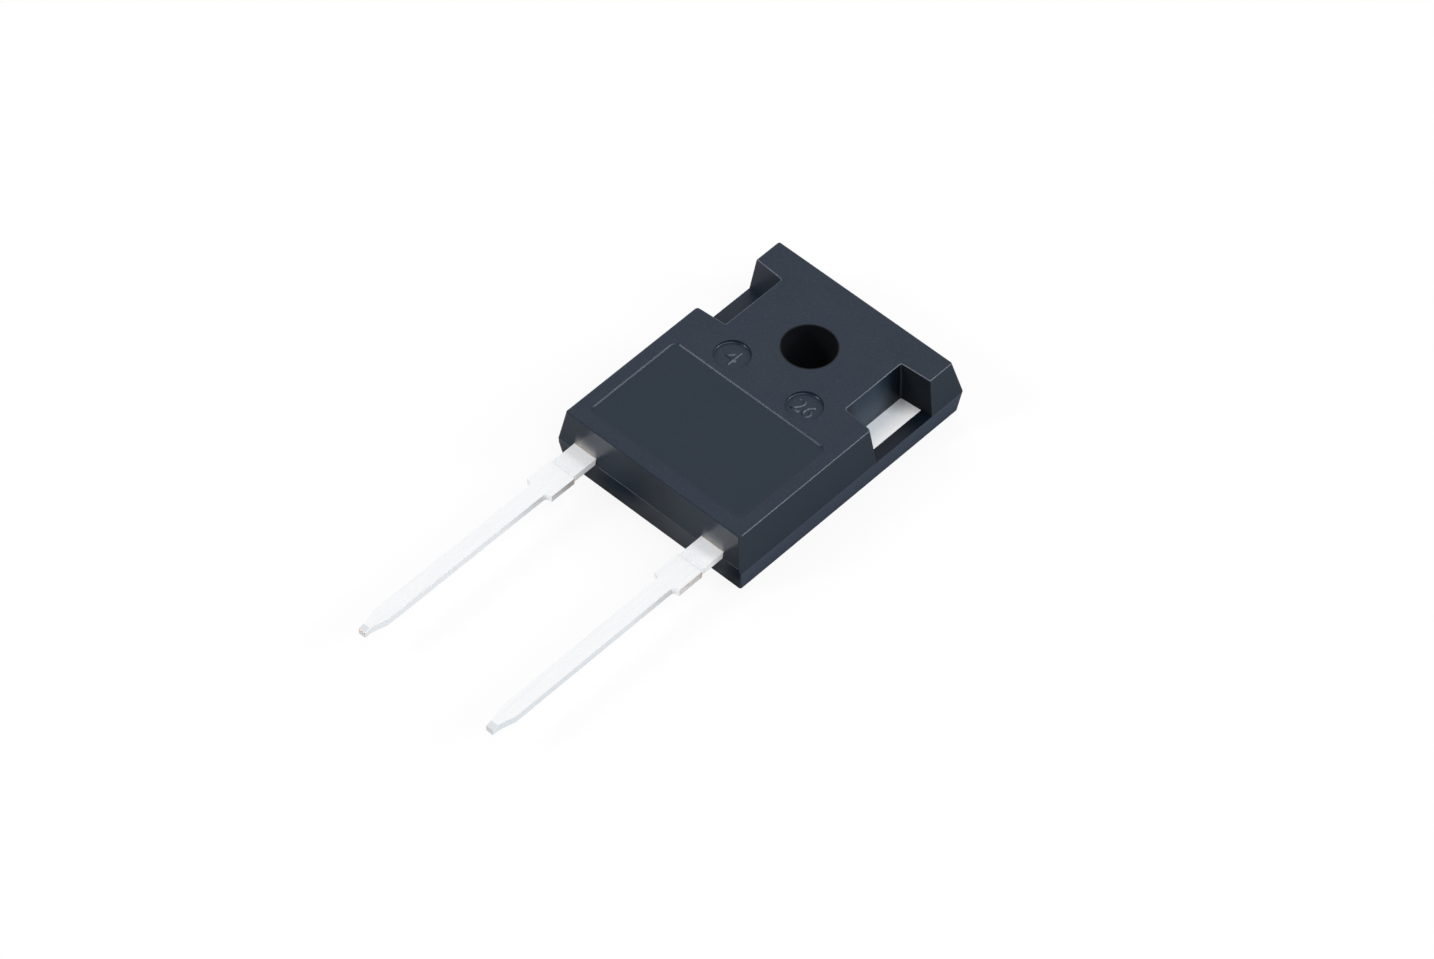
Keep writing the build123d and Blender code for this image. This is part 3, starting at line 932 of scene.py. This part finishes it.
# %% Make the floor
floor_reach, floor_white, below_part = 3.0, 0.88, 0.01 * MM
floor_mesh = bpy.data.meshes.new("floor")
turns = ((-1, -1), (1, -1), (1, 1), (-1, 1))
floor_mesh.from_pydata([(x * floor_reach, y * floor_reach, 0) for x, y in turns], [], [(0, 1, 2, 3)])
floor = bpy.data.objects.new("floor", floor_mesh)
floor.location.z = -below_part
bpy.context.scene.collection.objects.link(floor)

sheet = Recipe("floor_sheet")
sheet.set("Base Color", colour(floor_white, floor_white, floor_white))
sheet.set("Roughness", 0.9)
sheet.set("Specular IOR Level", 0.0)
floor_mesh.materials.append(sheet.material)
print("the floor is", 2 * floor_reach, "m square")

# %% [markdown]
# The sides of the leads lean over the floor and mirror it, so what they see there matters. Close to
# the part the floor lies in shade, deepest beside each lead and lighter in the open gap between
# them. The light path gives mirrored rays this dimmer floor, fading to white with the distance from
# the body. Past the right corner of the lead end nothing stands in the light, and it is lighter.

# %% Floor: how far from the body, and where it is shaded
shade_from, shade_to = 0.5 * MM, 6.5 * MM
body_middle, body_half = (body_low + body_high) / 2, (body_high - body_low) / 2
beside = sheet.most(sheet.minus(sheet.size(sheet.minus(sheet.x, body_middle.x)), body_half.x), 0.0)
beyond = sheet.most(sheet.minus(sheet.size(sheet.minus(sheet.y, body_middle.y)), body_half.y), 0.0)
from_body = sheet.length(beside, beyond)
corner_light = 0.45
lit_corner = sheet.times(
    sheet.ramp(sheet.x, 7.1 * MM, 7.7 * MM),
    sheet.ramp(sheet.y, front_y - 0.3 * MM, front_y - 0.9 * MM),
    corner_light,
)
open_floor = sheet.most(sheet.ramp(from_body, shade_from, shade_to), lit_corner)

strip_from, strip_to, strip_soft = 1.2 * MM, 2.6 * MM, 1.8 * MM
strips = [sheet.between(sheet.x, x + strip_from, x + strip_to, strip_soft) for x in (-lead_x, lead_x)]
beside_leads = sheet.times(sheet.most(*strips), sheet.ramp(sheet.y, front_y, front_y - 0.1 * MM))
lit_gap = sheet.between(sheet.x, 1.9 * MM, 3.1 * MM, 2.2 * MM)
plain_shade, lead_shade, gap_light = 0.52, 0.46, 0.22
extra_shade = sheet.minus(sheet.times(beside_leads, lead_shade), sheet.times(lit_gap, gap_light))
shade_share = sheet.plus(plain_shade, extra_shade)
print("mirrored floor is shaded up to", round(shade_to / MM, 1), "mm from the body")

# %% [markdown]
# Two mixes join it up. The first lifts the sheet to white for the rays that see it, and the second
# takes light from mirrored rays in the shade. All other rays meet the plain pale sheet.

# %% Floor: what each kind of ray sees
path = sheet.node("ShaderNodeLightPath").outputs
mirrored = sheet.times(path["Is Glossy Ray"], open_floor)
in_shade = sheet.minus(path["Is Glossy Ray"], mirrored)
seen = sheet.most(path["Is Camera Ray"], mirrored, path["Is Transmission Ray"])
glow = sheet.node("ShaderNodeEmission", {"Color": colour(1, 1, 1), "Strength": 1.0})
dark = sheet.node("ShaderNodeEmission", {"Color": colour(0, 0, 0), "Strength": 0.0})
lift = sheet.times(seen, floor_white)
lifted = sheet.node("ShaderNodeMixShader", {0: lift, 1: sheet.shader.outputs[0], 2: glow.outputs[0]})
dim = sheet.times(in_shade, shade_share)
shaded = sheet.node("ShaderNodeMixShader", {0: dim, 1: lifted.outputs[0], 2: dark.outputs[0]})
sheet.put(sheet.tree.nodes["Material Output"].inputs["Surface"], shaded.outputs[0])
print("floor sheet:", len(sheet.tree.nodes), "nodes")

# %% [markdown]
# ## Light
# Dark satin plastic shows its shape through thin bright lines on its rims, so the lamps are placed
# by what they are mirrored in. One soft lamp ahead on the left is mirrored in the rims that run
# across the part, one behind on the right in the rims that run along it, and a broad overhead one
# in the flat faces. A wide one high on the right fills the sides of the body and the leads. Each is
# set by how wide and how bright it looks from the part. With the even light of the room they bring
# the floor to a plain level, which is printed last: at 1 a colour looks as it is written.

# %% Hang the lamps
def softbox(name, azimuth_deg, elevation_deg, half_angle_deg, radiance, reach=1.2):
    """A round soft lamp that shows this large and this bright from the object."""
    turn, rise, half_angle = radians(azimuth_deg), radians(elevation_deg), radians(half_angle_deg)
    towards = Vector((sin(turn) * cos(rise), -cos(turn) * cos(rise), sin(rise)))
    lamp = bpy.data.lights.new(name, "AREA")
    lamp.shape = "DISK"
    lamp.size = 2 * reach * tan(half_angle)
    lamp.energy = radiance * pi * pi * (lamp.size / 2) ** 2
    held = bpy.data.objects.new(name, lamp)
    bpy.context.scene.collection.objects.link(held)
    held.location = aim + towards * reach
    held.rotation_euler = towards.to_track_quat("Z", "Y").to_euler()
    share = radiance * sin(half_angle) ** 2 * sin(rise)
    print(name, "gives the floor", round(share, 3))
    return share


floor_light = softbox("overhead_softbox", -139, 50, half_angle_deg=38, radiance=0.66)
floor_light += softbox("left_softbox", -33, 38, half_angle_deg=7.5, radiance=19.0)
floor_light += softbox("right_softbox", 125, 33, half_angle_deg=10.5, radiance=9.0)
floor_light += softbox("front_softbox", 80, 58, half_angle_deg=25, radiance=2.3)

room_light = 0.25
world = bpy.data.worlds.new("studio")
world.use_nodes = True
background = world.node_tree.nodes["Background"]
background.inputs["Color"].default_value = colour(1, 1, 1)
background.inputs["Strength"].default_value = room_light
bpy.context.scene.world = world
print("light level on the floor", round(floor_light + room_light, 3))

# %% [markdown]
# ## Colour management
# Blender's usual view transform is made for strong light and turns white a little grey. The plain
# one shows each colour as the light leaves it, which suits a white set.

# %% Set the view transform
bpy.context.scene.view_settings.view_transform = "Standard"
print("view transform:", bpy.context.scene.view_settings.view_transform)

# %% [markdown]
